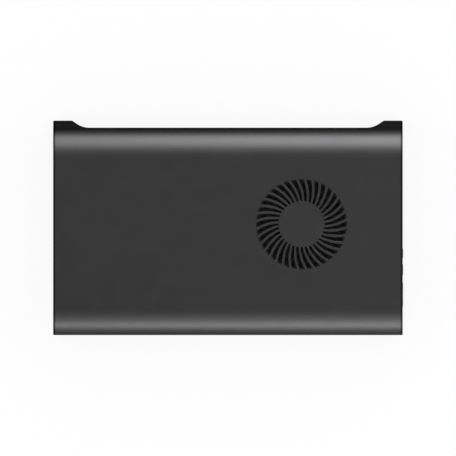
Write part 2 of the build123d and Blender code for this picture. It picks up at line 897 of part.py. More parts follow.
def power_mark():
    """Broken ring with an upright bar in its gap, sunk into the face of the power button."""
    face_x = end_x + button_proud
    plane = Plane((face_x - mark_depth, power_button_y, button_z), x_dir=(0, 1, 0), z_dir=(1, 0, 0))
    ring = Circle(mark_radius + mark_line / 2) - Circle(mark_radius - mark_line / 2)
    ring -= Pos(0, mark_radius) * Rectangle(mark_gap, mark_radius)
    bar = Pos(0, mark_radius) * Rectangle(mark_line, mark_bar)
    return extrude(plane * (ring + bar), mark_depth + overcut)


def button_switches():
    """Side acting switches on the board behind the two buttons."""
    switches = []
    for y in (power_button_y, mode_button_y):
        case = block(
            (switch_x - switch_depth, switch_x),
            (y - switch_width / 2, y + switch_width / 2),
            (board_top_z, board_top_z + switch_height),
        )
        plunger = along_x(switch_plunger_radius, switch_x, switch_x + switch_plunger_length, y)
        switches.append(case + plunger)
    return Part() + switches


def button_holes():
    """Holes for the two buttons in the right end panel."""
    sizes = ((power_button_y, power_button_radius), (mode_button_y, mode_button_radius))
    return [along_x(r + button_gap, shoulder_x - overcut, end_x + overcut, y) for y, r in sizes]


# Sockets


@dataclass(frozen=True)
class Socket:
    """Socket on the board at one end: side is +1 for the right end and -1 for the left."""

    side: int
    share: float
    width: float
    height: float
    length: float
    cavity: float
    form: str
    mouth: float = panel_x + socket_reach

    def plane(self):
        """Plane of the mouth, facing out of the end, with its origin at the mouth's middle."""
        origin = (self.side * self.mouth, self.share * depth, board_top_z + self.height / 2)
        return Plane(origin, x_dir=(0, self.side, 0), z_dir=(self.side, 0, 0))

    def outline(self, grow):
        """Mouth outline, grown or drawn in all round."""
        width = self.width + 2 * grow
        height_now = self.height + 2 * grow
        right, top = width / 2, height_now / 2
        if self.form == "oval":
            return SlotOverall(width, height_now)
        if self.form == "tapered":
            low, inner = video_taper_height - top, right - video_taper_width
            right_side = [(right, top), (right, low), (inner, -top)]
            left_side = [(-x, y) for x, y in reversed(right_side)]
            return make_face(Polyline(*right_side, *left_side, close=True))
        if self.form == "notched":
            low, inner = display_notch - top, display_notch - right
            points = [(-right, top), (right, top), (right, -top), (inner, -top), (-right, low)]
            return make_face(Polyline(*points, close=True))
        return Rectangle(width, height_now)

    def prism(self, sketch, near, far):
        """Sketch on the mouth's plane, carried from one depth to another behind the mouth."""
        return extrude(self.plane().offset(-far) * sketch, far - near)

    def shell(self):
        """Thin metal sleeve round the socket."""
        return self.prism(self.outline(0) - self.outline(-shell_wall), 0, self.length)

    def cutout(self):
        """Hole that lets the socket through its end panel."""
        return self.prism(self.outline(cutout_gap), -overcut, self.length)

    def insert(self, tongue_width, tongue_thickness, tongue_heights=(0,)):
        """Moulded block at the back of the sleeve with one or more contact tongues."""
        moulding = self.prism(self.outline(-shell_wall), self.cavity, self.length)
        for level in tongue_heights:
            tongue = Pos(0, level) * Rectangle(tongue_width, tongue_thickness)
            moulding += self.prism(tongue, tongue_setback, self.cavity)
        return moulding


type_a = Socket(
    1, type_a_share, type_a_width, type_a_height, type_a_length, type_a_cavity, "box", end_x + button_proud
)
type_c = Socket(1, type_c_share, type_c_width, type_c_height, type_c_length, type_c_cavity, "oval")
link = Socket(1, link_share, link_width, link_height, link_length, link_cavity, "box")
network = Socket(1, network_share, network_width, network_height, network_length, network_cavity, "box")
videos = [
    Socket(-1, share, video_width, video_height, video_length, video_cavity, "tapered")
    for share in video_shares
]
displays = [
    Socket(-1, share, display_width, display_height, display_length, display_cavity, "notched")
    for share in display_shares
]
power = Socket(-1, power_share, power_width, power_height, power_length, power_cavity, "box")


def shells(sockets):
    """Sleeves of a pair of like sockets."""
    return Part() + [socket.shell() for socket in sockets]


def inserts(sockets, tongue_width, tongue_thickness):
    """Mouldings of a pair of like sockets."""
    return Part() + [socket.insert(tongue_width, tongue_thickness) for socket in sockets]


def type_a_insert():
    """Moulding of the stacked pair: a web between the two mouths and a tongue high in each."""
    room = (type_a.height - 2 * shell_wall - type_a_web) / 2
    level = (room + type_a_web) / 2
    levels = (type_a_tongue_rise + level, type_a_tongue_rise - level)
    moulding = type_a.insert(type_a_tongue_width, type_a_tongue_thickness, levels)
    web = Rectangle(type_a.width - 2 * shell_wall, type_a_web)
    return moulding + type_a.prism(web, 0, type_a.cavity)


def network_insert():
    """Moulded block with the stepped plug port."""
    block_part = network.prism(network.outline(-shell_wall), 0, network.length)
    port = Pos(0, network_port_drop) * Rectangle(network_port_width, network_port_height)
    key_y = network_port_drop - (network_port_height + network_key_height) / 2
    port += Pos(0, key_y) * Rectangle(network_key_width, network_key_height)
    return block_part - network.prism(port, -overcut, network.cavity)


def power_inlet_body():
    """Moulded block with the round bore of the power inlet."""
    block_part = power.prism(power.outline(0), 0, power.length)
    block_part -= power.prism(Circle(power_bore_radius), -overcut, power.cavity)
    return block_part - power.prism(Circle(power_pin_radius), 0, power.cavity + power_pin_root)


def power_inlet_pin():
    """Centre pin rooted in the back of the power inlet."""
    return power.prism(Circle(power_pin_radius), tongue_setback, power.cavity + power_pin_root)


def build_nodes():
    """Every node of the enclosure by name."""
    shell = housing()
    right_holes = [socket.cutout() for socket in (type_a, type_c, link, network)] + button_holes()
    left_holes = [socket.cutout() for socket in (*videos, *displays, power)]
    return {
        "top_cover": top_cover(shell),
        "bottom_cover": bottom_cover(shell),
        "left_end_panel": end_panel(-1, left_holes),
        "right_end_panel": end_panel(1, right_holes),
        "exhaust_grille": exhaust_grille(),
        "rubber_feet": rubber_feet(),
        "cover_screws": cover_screws(),
        "mainboard": mainboard(),
        "board_screws": board_screws(),
        "graphics_package": graphics_package(),
        "graphics_die": graphics_die(),
        "memory_chips": memory_chips(),
        "thermal_pads": thermal_pads(),
        "power_inductors": power_inductors(),
        "power_capacitors": power_capacitors(),
        "cold_plate": cold_plate(),
        "heat_pipes": heat_pipes(),
        "fin_stack": fin_stack(),
        "cooler_spacers": cooler_spacers(),
        "cooler_screws": cooler_screws(),
        "fan_housing": fan_housing(),
        "fan_cover": fan_cover(),
        "inlet_gasket": inlet_gasket(),
        "fan_screws": fan_screws(),
        "fan_bearing": fan_bearing(),
        "fan_stator": fan_stator(),
        "stator_windings": stator_windings(),
        "fan_rotor": fan_rotor(),
        "rotor_magnet": rotor_magnet(),
        "fan_shaft": fan_shaft(),
        "power_button": push_button(power_button_y, power_button_radius) - power_mark(),
        "mode_button": push_button(mode_button_y, mode_button_radius),
        "button_switches": button_switches(),
        "type_a_shell": type_a.shell(),
        "type_a_insert": type_a_insert(),
        "type_c_shell": type_c.shell(),
        "type_c_insert": type_c.insert(type_c_tongue_width, type_c_tongue_thickness),
        "link_shell": link.shell(),
        "link_insert": link.insert(link_tongue_width, link_tongue_thickness),
        "network_shield": network.shell(),
        "network_insert": network_insert(),
        "video_shells": shells(videos),
        "video_inserts": inserts(videos, video_tongue_width, video_tongue_thickness),
        "display_shells": shells(displays),
        "display_inserts": inserts(displays, display_tongue_width, display_tongue_thickness),
        "power_inlet_body": power_inlet_body(),
        "power_inlet_pin": power_inlet_pin(),
    }


def main():
    """Write one file for each node."""
    os.makedirs("parts", exist_ok=True)
    for name, shape in build_nodes().items():
        export_step(shape, f"parts/{name}.step")


main()
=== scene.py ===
"""Looks of the external graphics card enclosure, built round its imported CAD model.

The enclosure lies flat on its feet. X runs along its length, Y along its depth with the exhaust at +Y, and Z is up.
Fields ending in _mm are millimetres, and so are the points of a Surface. Meshes and lamps are in metres, in the frame
of the CAD model.
"""

import json
import logging
import math
from dataclasses import dataclass
from enum import Enum
from functools import lru_cache
from typing import ClassVar

import bpy
import numpy as np
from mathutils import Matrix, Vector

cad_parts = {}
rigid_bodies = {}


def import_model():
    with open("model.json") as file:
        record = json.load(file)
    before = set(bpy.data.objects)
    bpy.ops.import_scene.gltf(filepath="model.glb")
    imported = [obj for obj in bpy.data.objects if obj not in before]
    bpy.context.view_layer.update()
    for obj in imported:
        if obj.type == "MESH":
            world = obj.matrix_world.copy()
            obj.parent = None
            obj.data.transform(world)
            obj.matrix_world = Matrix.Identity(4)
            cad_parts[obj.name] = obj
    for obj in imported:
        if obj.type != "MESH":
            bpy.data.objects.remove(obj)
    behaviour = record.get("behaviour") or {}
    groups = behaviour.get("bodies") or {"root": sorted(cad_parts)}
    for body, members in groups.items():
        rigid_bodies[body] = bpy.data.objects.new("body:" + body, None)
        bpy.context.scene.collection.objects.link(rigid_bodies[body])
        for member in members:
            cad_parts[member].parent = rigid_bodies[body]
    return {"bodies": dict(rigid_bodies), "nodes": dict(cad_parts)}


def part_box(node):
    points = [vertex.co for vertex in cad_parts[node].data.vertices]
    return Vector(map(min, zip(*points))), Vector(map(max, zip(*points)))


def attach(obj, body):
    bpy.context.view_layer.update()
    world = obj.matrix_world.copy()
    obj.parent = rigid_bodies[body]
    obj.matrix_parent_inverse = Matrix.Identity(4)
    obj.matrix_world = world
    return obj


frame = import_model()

MM = 0.001
SHARP_ANGLE = math.radians(40.0)

# Blender's noise: range that holds most of it, and octaves of a relief
NOISE_RANGE = (0.3, 0.7)
RELIEF_DETAIL = 3.0

# Blender's other nodes: length of a wave at scale 1, samples of a softened edge, colour sockets of the mix
WAVE_LENGTH = 0.314
EDGE_SAMPLES = 4
MIX_FIRST, MIX_SECOND, MIX_RESULT = 6, 7, 2

# Reliefs: stretch of brush marks along their run, and wobble of layers
BRUSH_STRETCH = 0.03
LAYER_WOBBLE = 0.2

# Angles in degrees: the way up, and a full turn
UPWARD, FULL_TURN = 90.0, 360.0

# Points along and round the curved pieces
MARK_STEPS, BAR_STEPS = 40, 3
CONTACT_STEPS, SPRING_STEPS = 25, 21
RUN_STEPS, BEND_STEPS, SLANT_STEPS = 6, 15, 8
NOSE_RINGS, NOSE_SIDES = 10, 24

# Cut at the corners of sheet metal, as a share of its thickness, and decimals to which places are told apart
CUT_SHARE = 0.25
PLACE_DECIMALS = 2

Pair = tuple[float, float]
Triple = tuple[float, float, float]
Colour = Triple
log = logging.getLogger("enclosure")


class Body(Enum):
    """Bodies of the frame that a piece can ride on."""

    ENCLOSURE = "enclosure"
    POWER_KEY = "power_key"


class Grain(Enum):
    """Kinds of fine surface relief."""

    MOULD = "mould"
    BRUSH = "brush"
    CELL = "cell"
    LAYER = "layer"


class Axis(Enum):
    """Directions in which brush marks run or layers stack."""

    X = 0
    Y = 1
    Z = 2


class Ramp(Enum):
    """Ways in which a value runs between its two ends."""

    STRAIGHT = "LINEAR"
    SMOOTH = "SMOOTHSTEP"


class End(Enum):
    """Ends of the body, as the sign of X."""

    LEFT = -1
    RIGHT = 1


class Side(Enum):
    """Sides of a tongue or sleeve, as the sign of Z."""

    LOWER = -1
    UPPER = 1


class Wall(Enum):
    """Sides of the body on which a light wall stands, as the sign of Y."""

    FRONT = -1
    REAR = 1


class Mouth(Enum):
    """Outlines of a socket's mouth."""

    BOX = "box"
    OVAL = "oval"
    TAPERED = "tapered"
    NOTCHED = "notched"


class NodeGraph:
    """Node tree of a finish or of the room, with short calls to add and join nodes."""

    def __init__(self, owner: bpy.types.Material | bpy.types.World) -> None:
        """Take up the owner's own nodes.

        Args:
            owner: material or world that holds the tree.
        """
        owner.use_nodes = True
        self.tree = owner.node_tree
        self.shader = next(n for n in self.tree.nodes if n.type in ("BSDF_PRINCIPLED", "BACKGROUND"))

    def add(self, kind: str, inputs: dict[str | int, object] | None = None, **settings: object) -> bpy.types.Node:
        """Add a node.

        Args:
            kind: node type.
            inputs: inputs by name or place, with the value or output socket that each one takes.
            settings: properties of the node.

        Returns:
            The new node.
        """
        node = self.tree.nodes.new(kind)
        for key, value in settings.items():
            setattr(node, key, value)
        self.feed(node, inputs or {})
        return node

    def feed(self, node: bpy.types.Node, inputs: dict[str | int, object]) -> None:
        """Set or link the inputs of a node.

        Args:
            node: node whose inputs are set.
            inputs: inputs by name or place, with the value or output socket that each one takes.
        """
        for key, value in inputs.items():
            if isinstance(value, bpy.types.NodeSocket):
                self.tree.links.new(value, node.inputs[key])
            else:
                node.inputs[key].default_value = value

    def place(self, stretch: Triple = (1.0, 1.0, 1.0)) -> bpy.types.NodeSocket:
        """Object coordinates, each times its own factor."""
        point = self.add("ShaderNodeTexCoord").outputs["Object"]
        return self.add("ShaderNodeMapping", {"Vector": point, "Scale": stretch}).outputs["Vector"]

    def noise(self, vector: bpy.types.NodeSocket, size_mm: float, detail: float = 2.0) -> bpy.types.NodeSocket:
        """Noise whose features have about the given size, with some octaves of finer noise."""
        values = {"Vector": vector, "Scale": 1.0 / (size_mm * MM), "Detail": detail}
        return self.add("ShaderNodeTexNoise", values).outputs["Fac"]

    def span(self, factor: bpy.types.NodeSocket, low: float, high: float) -> bpy.types.NodeSocket:
        """Values from low to high over the range that holds most of the noise."""
        return self.remap(factor, *NOISE_RANGE, low, high, Ramp.STRAIGHT)

    def remap(
        self, value: bpy.types.NodeSocket, start: float, stop: float, low: float, high: float, ramp: Ramp
    ) -> bpy.types.NodeSocket:
        """Value that runs from low to high while another runs from start to stop, and stays level outside."""
        values = {"Value": value, "From Min": start, "From Max": stop, "To Min": low, "To Max": high}
        return self.add("ShaderNodeMapRange", values, interpolation_type=ramp.value).outputs["Result"]

    def shades(self, factor: bpy.types.NodeSocket, dark: Colour, light: Colour) -> bpy.types.NodeSocket:
        """Blend of two colours by a noise factor.

        Args:
            factor: noise.
            dark: colour at the lower end of the range that holds most of it.
            light: colour at the upper end.

        Returns:
            The colour socket.
        """
        ramp = self.add("ShaderNodeValToRGB", {"Fac": factor})
        for stop, position, colour in zip(ramp.color_ramp.elements, NOISE_RANGE, (dark, light)):
            stop.position = position
            stop.color = (*colour, 1.0)
        return ramp.outputs["Color"]

    def show(self, shader: bpy.types.NodeSocket) -> None:
        """Make a shader the surface of the material."""
        self.feed(next(n for n in self.tree.nodes if n.type == "OUTPUT_MATERIAL"), {"Surface": shader})

    def background_rays(self) -> bpy.types.NodeSocket:
        """Factor that is 1 for rays that show the background: seen, mirrored or through glass.

        Returns:
            The factor socket.
        """
        path = self.add("ShaderNodeLightPath")
        total = path.outputs["Is Camera Ray"]
        for name in ("Is Glossy Ray", "Is Transmission Ray"):
            values = {0: total, 1: path.outputs[name]}
            total = self.add("ShaderNodeMath", values, operation="ADD", use_clamp=True).outputs[0]
        return total


@dataclass(frozen=True)
class Finish:
    """A solid material with slight mottling, softened edges and a fine relief.

    Attributes:
        slot: slot of the record that it stands for.
        colour: mean colour, linear.
        roughness: mean roughness.
        metallic: 1 for metal or a metallic coat.
        edge_tint: reflection of a metal near grazing, as a share of white.
        gloss: strength of a plastic's reflection, 0.5 for a common one.
        grain: kind of relief.
        grain_mm: size of the relief's features.
        depth_mm: height of the relief.
        along: direction of brush marks or layers.
        mottle: share by which the colour varies.
        rough_spread: amount by which the roughness varies.
        mottle_mm: size of the patches of colour and roughness.
        edge_mm: radius to which sharp edges look rounded.
    """

    slot: str
    colour: Colour
    roughness: float
    metallic: float = 0.0
    edge_tint: float = 1.0
    gloss: float = 0.5
    grain: Grain = Grain.MOULD
    grain_mm: float = 0.3
    depth_mm: float = 0.004
    along: Axis = Axis.X
    mottle: float = 0.06
    rough_spread: float = 0.04
    mottle_mm: float = 9.0
    edge_mm: float = 0.1

    def relief(self, graph: NodeGraph) -> bpy.types.NodeSocket:
        """Height of the surface relief.

        Args:
            graph: node tree of the finish.

        Returns:
            The height socket.
        """
        if self.grain is Grain.BRUSH:
            stretch = [1.0, 1.0, 1.0]
            stretch[self.along.value] = BRUSH_STRETCH
            return graph.noise(graph.place(tuple(stretch)), self.grain_mm, RELIEF_DETAIL)
        if self.grain is Grain.CELL:
            values = {"Vector": graph.place(), "Scale": 1.0 / (self.grain_mm * MM)}
            return graph.add("ShaderNodeTexVoronoi", values).outputs["Distance"]
        if self.grain is Grain.LAYER:
            scale = WAVE_LENGTH / (self.grain_mm * MM)
            values = {"Vector": graph.place(), "Scale": scale, "Distortion": LAYER_WOBBLE}
            return graph.add("ShaderNodeTexWave", values, bands_direction=self.along.name).outputs["Fac"]
        return graph.noise(graph.place(), self.grain_mm, RELIEF_DETAIL)

    def shaded(self, share: float) -> Colour:
        """Mean colour made lighter or darker by a share."""
        return tuple(c * (1.0 + share) for c in self.colour)

    def colouring(self, graph: NodeGraph, patches: bpy.types.NodeSocket) -> bpy.types.NodeSocket:
        """Colour over the surface, mottled by the noise of the patches."""
        return graph.shades(patches, self.shaded(-self.mottle), self.shaded(self.mottle))

    def material(self) -> bpy.types.Material:
        """Build the node tree.

        Returns:
            The finished material.
        """
        material = bpy.data.materials.new(f"{self.slot}_finish")
        graph = NodeGraph(material)
        patches = graph.noise(graph.place(), self.mottle_mm)
        low, high = self.roughness - self.rough_spread, self.roughness + self.rough_spread
        edges = graph.add("ShaderNodeBevel", {"Radius": self.edge_mm * MM}, samples=EDGE_SAMPLES)
        values = {"Height": self.relief(graph), "Distance": self.depth_mm * MM, "Normal": edges.outputs["Normal"]}
        bump = graph.add("ShaderNodeBump", values)
        values = {
            "Base Color": self.colouring(graph, patches),
            "Roughness": graph.span(patches, low, high),
            "Normal": bump.outputs["Normal"],
            "Metallic": self.metallic,
            "Specular IOR Level": self.gloss,
            "Specular Tint": (self.edge_tint, self.edge_tint, self.edge_tint, 1.0),
        }
        graph.feed(graph.shader, values)
        return material


@dataclass(frozen=True)
class BoardFinish(Finish):
    """Solder mask with the paler lines of the tracks under it.

    Attributes:
        track_mm: size of the fields between the tracks.
        track_share: width of a track as a share of that size.
        track_lift: share by which the tracks are paler.
    """

    track_mm: float = 4.0
    track_share: float = 0.06
    track_lift: float = 1.2

    def colouring(self, graph: NodeGraph, patches: bpy.types.NodeSocket) -> bpy.types.NodeSocket:
        """Mask colour, paler along the edges of a pattern of cells.

        Args:
            graph: node tree of the finish.
            patches: noise of the mottling.

        Returns:
            The colour socket.
        """
        values = {"Vector": graph.place(), "Scale": 1.0 / (self.track_mm * MM)}
        cells = graph.add("ShaderNodeTexVoronoi", values, feature="DISTANCE_TO_EDGE")
        values = {0: cells.outputs["Distance"], 1: self.track_share}
        track = graph.add("ShaderNodeMath", values, operation="LESS_THAN")
        values = {
            "Factor": track.outputs[0],
            MIX_FIRST: super().colouring(graph, patches),
            MIX_SECOND: (*self.shaded(self.track_lift), 1.0),
        }
        return graph.add("ShaderNodeMix", values, data_type="RGBA").outputs[MIX_RESULT]


@dataclass(frozen=True)
class PaintedShadeCoatFinish(Finish):
    """Housing coat with painted shade: its colour grows darker along the rear edge and in a thin line along both ends.

    Attributes:
        rear_mm: Y at which the painted shade along the rear edge starts and ends.
        end_mm: distance along X from the middle at which the painted shade along the ends starts and ends.
        rear_painted_shade: share of the colour that the painted shade leaves along the rear edge.
        end_painted_shade: share of the colour that the painted shade leaves along the ends.
    """

    rear_mm: Pair = (50.6, 55.8)
    end_mm: Pair = (96.9, 97.7)
    rear_painted_shade: float = 0.3
    end_painted_shade: float = 0.3

    def falling(
        self, graph: NodeGraph, distance: bpy.types.NodeSocket, span_mm: Pair, shade: float
    ) -> bpy.types.NodeSocket:
        """Share of the colour that the painted shade leaves, falling smoothly to the shade over a span of a coordinate.
        """
        start, stop = (place * MM for place in span_mm)
        return graph.remap(distance, start, stop, 1.0, shade, Ramp.SMOOTH)

    def colouring(self, graph: NodeGraph, patches: bpy.types.NodeSocket) -> bpy.types.NodeSocket:
        """Mottled colour times the shares that the painted shade leaves towards the rear and the ends.

        Args:
            graph: node tree of the finish.
            patches: noise of the mottling.

        Returns:
            The colour socket.
        """
        place = graph.add("ShaderNodeSeparateXYZ", {"Vector": graph.place()})
        aside = graph.add("ShaderNodeMath", {0: place.outputs["X"]}, operation="ABSOLUTE").outputs[0]
        # Painted shade: the coat's colour is darkened towards the rear edge and towards both ends
        rear = self.falling(graph, place.outputs["Y"], self.rear_mm, self.rear_painted_shade)
        ends = self.falling(graph, aside, self.end_mm, self.end_painted_shade)
        share = graph.add("ShaderNodeMath", {0: rear, 1: ends}, operation="MULTIPLY").outputs[0]
        values = {"Vector": super().colouring(graph, patches), "Scale": share}
        return graph.add("ShaderNodeVectorMath", values, operation="SCALE").outputs["Vector"]


# The housing coat carries painted shade along its rear edge and both ends
HOUSING = PaintedShadeCoatFinish(
    "housing_grey", (0.042, 0.042, 0.0428), 0.45, 1.0, 0.42, mottle=0.015, rough_spread=0.015, edge_mm=0.2,
)
PANEL = Finish("panel_black", (0.02, 0.02, 0.021), 0.5, gloss=0.2, depth_mm=0.006, mottle=0.03, rough_spread=0.02)
GRILLE = Finish("grille_black", (0.018, 0.018, 0.018), 0.55, gloss=0.2)
RUBBER = Finish("foot_rubber", (0.02, 0.02, 0.02), 0.8, grain_mm=0.5, depth_mm=0.03, edge_mm=0.3)
SCREW = Finish("screw_steel", (0.35, 0.35, 0.36), 0.3, 1.0, grain=Grain.BRUSH, along=Axis.Z)
BOARD = BoardFinish("board_mask", (0.012, 0.02, 0.016), 0.35, mottle=0.3, mottle_mm=3.0)
CHIP = Finish("chip_black", (0.02, 0.02, 0.022), 0.6, grain_mm=0.15)
DIE = Finish("die_grey", (0.12, 0.12, 0.14), 0.15, depth_mm=0.0005)
PAD = Finish("pad_grey", (0.3, 0.32, 0.36), 0.75, grain=Grain.CELL)
CAN = Finish("can_metal", (0.7, 0.7, 0.72), 0.3, 1.0, grain=Grain.BRUSH, along=Axis.Z)
COPPER = Finish("copper", (0.72, 0.38, 0.24), 0.3, 1.0, mottle=0.15, mottle_mm=6.0)
FINS = Finish("fin_metal", (0.66, 0.67, 0.69), 0.35, 1.0, grain=Grain.BRUSH, along=Axis.Y)
BRASS = Finish("spacer_brass", (0.7, 0.55, 0.28), 0.3, 1.0, grain=Grain.BRUSH, along=Axis.Z)
BLOWER = Finish("blower_black", (0.014, 0.014, 0.014), 0.5)
FOAM = Finish("gasket_foam", (0.03, 0.03, 0.03), 0.95, grain=Grain.CELL, grain_mm=0.5, depth_mm=0.15)
BRONZE = Finish("bearing_bronze", (0.55, 0.38, 0.2), 0.45, 1.0, grain=Grain.CELL, grain_mm=0.1)
CORE = Finish("core_steel", (0.3, 0.3, 0.32), 0.45, 1.0, grain=Grain.LAYER, grain_mm=0.5, along=Axis.Z)
MAGNET = Finish("magnet_dark", (0.06, 0.06, 0.065), 0.6, grain_mm=0.2)
SHAFT = Finish("shaft_steel", (0.6, 0.6, 0.62), 0.2, 1.0, grain=Grain.BRUSH, along=Axis.Z)
BUTTON = Finish("button_grey", (0.05, 0.05, 0.052), 0.45)
PAINT = Finish("button_grey", (0.62, 0.62, 0.62), 0.55)
SWITCH = Finish("switch_black", (0.03, 0.03, 0.03), 0.5)
SOCKET = Finish("socket_metal", (0.62, 0.62, 0.64), 0.28, 1.0, grain=Grain.BRUSH, along=Axis.X, depth_mm=0.001)
INSERT = Finish("socket_black", (0.018, 0.018, 0.02), 0.5)
PIN = Finish("pin_metal", (0.75, 0.74, 0.72), 0.2, 1.0, depth_mm=0.0005)
CONTACT = Finish("spacer_brass", (0.8, 0.58, 0.24), 0.22, 1.0, depth_mm=0.0005, mottle_mm=2.0)


@lru_cache(maxsize=None)
def finished(finish: Finish) -> bpy.types.Material:
    """The one material of a finish."""
    return finish.material()


@dataclass
class Surface:
    """Closed surface: points in millimetres, and arrays of faces that point outwards, with one row to a face.

    Attributes:
        points: one row to a point.
        faces: arrays of point numbers, each for faces with the same number of corners.
    """

    points: np.ndarray
    faces: list[np.ndarray]

    @staticmethod
    def sides(near: np.ndarray, far: np.ndarray) -> np.ndarray:
        """Faces between closed loops of points and the loops ahead of them, by the points' numbers."""
        return np.stack((near, np.roll(near, -1, 1), np.roll(far, -1, 1), far), -1).reshape(-1, 4)

    @classmethod
    def tube(cls, grid: np.ndarray) -> "Surface":
        """Skin of a grid whose rows are closed loops, with a flat face over the first and the last row.

        Args:
            grid: points by row along the tube and by place round it.

        Returns:
            The surface.
        """
        index = np.arange(grid.shape[0] * grid.shape[1]).reshape(grid.shape[:2])
        ends = np.stack((index[0, ::-1], index[-1]))
        return cls(grid.reshape(-1, 3), [cls.sides(index[:-1], index[1:]), ends]).outward()

    @classmethod
    def ring(cls, grid: np.ndarray) -> "Surface":
        """Skin of a grid that is closed in both directions."""
        index = np.arange(grid.shape[0] * grid.shape[1]).reshape(grid.shape[:2])
        return cls(grid.reshape(-1, 3), [cls.sides(index, np.roll(index, -1, 0))]).outward()

    @classmethod
    def joined(cls, parts: list["Surface"]) -> "Surface":
        """Several surfaces as one.

        Args:
            parts: surfaces to join.

        Returns:
            The joined surface.
        """
        starts = np.cumsum([0] + [len(part.points) for part in parts[:-1]])
        faces = [face + start for part, start in zip(parts, starts) for face in part.faces]
        return cls(np.concatenate([part.points for part in parts]), faces)

    def copies(self, shifts: np.ndarray) -> "Surface":
        """The surface repeated: each point of a copy is a point of the surface plus that copy's shift.

        Args:
            shifts: one row to a copy.

        Returns:
            The repeated surface.
        """
        points = (shifts[:, None, :] + self.points[None]).reshape(-1, 3)
        starts = np.arange(len(shifts))[:, None, None] * len(self.points)
        return Surface(points, [(face[None] + starts).reshape(-1, face.shape[1]) for face in self.faces])

    def outward(self) -> "Surface":
        """The surface with its faces turned outwards, by the sign of its volume.

        Six times the volume is the sum, over the triangles fanned from each face's first corner, of that corner's dot
        product with the cross product of the other two.

        Returns:
            The surface, turned round where the volume was negative.
        """
        total = 0.0
        for face in self.faces:
            corners = self.points[face]
            crossed = np.cross(corners[:, 1:-1], corners[:, 2:])
            total += float((corners[:, :1] * crossed).sum())
        if total > 0.0:
            return self
        return Surface(self.points, [face[:, ::-1] for face in self.faces])

    def piece(self, name: str, finish: Finish, body: Body = Body.ENCLOSURE) -> bpy.types.Object:
        """Put the surface into the scene as a piece.

        Args:
            name: name of the piece.
            finish: finish that it gets.
            body: body that it rides on.

        Returns:
            The piece.
        """
        mesh = bpy.data.meshes.new(name)
        mesh.from_pydata((self.points * MM).tolist(), [], [corners for face in self.faces for corners in face.tolist()])
        mesh.shade_smooth()
        mesh.set_sharp_from_angle(angle=SHARP_ANGLE)
        mesh.materials.append(finished(finish))
        piece = bpy.data.objects.new(name, mesh)
        bpy.context.scene.collection.objects.link(piece)
        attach(piece, body.value)
        log.info("built %s", name)
        return piece


def unit(vectors: np.ndarray) -> np.ndarray:
    """Vectors of length 1, row by row."""
    return vectors / np.linalg.norm(vectors, axis=1, keepdims=True)


def carried(path: np.ndarray, tangent: np.ndarray, heights: np.ndarray, places: np.ndarray) -> np.ndarray:
    """Grid of a profile carried along a path in a plane.

    Point (i, j) is path point i, plus profile point j's height along the path's normal there; its third coordinate is
    profile point j's place across the plane.

    Args:
        path: points of the path in its plane.
        tangent: way of the path at each point, of any length.
        heights: heights of the profile's points.
        places: places of the profile's points.

    Returns:
        The grid, with the two coordinates of the plane first.
    """
    along = unit(tangent)
    normal = np.stack((-along[:, 1], along[:, 0]), -1)
    plane = path[:, None, :] + heights[None, :, None] * normal[:, None, :]
    across = np.broadcast_to(places, plane.shape[:2])
    return np.concatenate((plane, across[..., None]), -1)


def band(path: np.ndarray, thickness: float, width: float, edge: float) -> np.ndarray:
    """Grid of a flat band: an oblong with cut corners carried along a path in a plane.

    Args:
        path: points of the path in its plane.
        thickness: size of the oblong along the normal.
        width: size of the oblong across the plane.
        edge: size of the cut at its corners.

    Returns:
        The grid, with the two coordinates of the plane first.
    """
    high, wide = thickness / 2, width / 2
    heights = np.array((-high + edge, -high, -high, -high + edge, high - edge, high, high, high - edge))
    places = np.array((-wide, -wide + edge, wide - edge, wide, wide, wide - edge, -wide + edge, -wide))
    return carried(path, np.gradient(path, axis=0), heights, places)


def rounded(corners: np.ndarray, radius: float, steps: int = 7) -> np.ndarray:
    """Closed path round a convex outline whose corners are rounded.

    Each corner is an arc about the point on its bisector that lies the radius away from both sides. The arm to the arc
    turns evenly from the first tangent point to the second.

    Args:
        corners: corners in order.
        radius: radius of the arcs.
        steps: points on each arc.

    Returns:
        Points of the path.
    """
    back, ahead = (unit(np.roll(corners, step, 0) - corners) for step in (1, -1))
    half = np.arccos((back * ahead).sum(1, keepdims=True)) / 2
    centre = corners + unit(back + ahead) * radius / np.sin(half)
    first, last = (corners + way * radius / np.tan(half) - centre for way in (back, ahead))
    turn = (math.pi - 2 * half)[:, None]
    share = np.linspace(0.0, 1.0, steps)[None, :, None]
    arms = (np.sin((1 - share) * turn) * first[:, None] + np.sin(share * turn) * last[:, None]) / np.sin(turn)
    return (centre[:, None] + arms).reshape(-1, 2)


def bead(path: np.ndarray, radius: float, steps: int = 10) -> np.ndarray:
    """Grid of a round bead: a circle carried along a closed path in a plane.

    The way of the path at a point is the mean of the ways to it and from it.

    Args:
        path: points of the closed path in its plane.
        radius: radius of the circle.
        steps: points round the circle.

    Returns:
        The grid, with the two coordinates of the plane first.
    """
    ahead = unit(np.roll(path, -1, 0) - path)
    angle = np.arange(steps) * 2 * math.pi / steps
    return carried(path, ahead + np.roll(ahead, 1, 0), radius * np.cos(angle), radius * np.sin(angle))


def row(count: int, pitch: float) -> np.ndarray:
    """Places of a row of like things, evenly spaced about its middle."""
    return (np.arange(count) - (count - 1) / 2) * pitch


class SubAssembly:
    """Group of CAD nodes that belong together, with the pieces that are added to them.

    Attributes:
        FINISHES: finish of each node of the group.
    """

    FINISHES: ClassVar[dict[str, Finish]] = {}

    def finishes(self) -> dict[str, Finish]:
        """Finish of each node of the group."""
        return self.FINISHES

    def shape(self) -> None:
        """Add the group's own pieces; a plain group has none."""

    def build(self) -> None:
        """Dress the nodes and add the pieces."""
        for node, finish in self.finishes().items():
            for slot in frame["nodes"][node].material_slots:
                slot.material = finished(finish)
            log.info("dressed %s", node)
        self.shape()


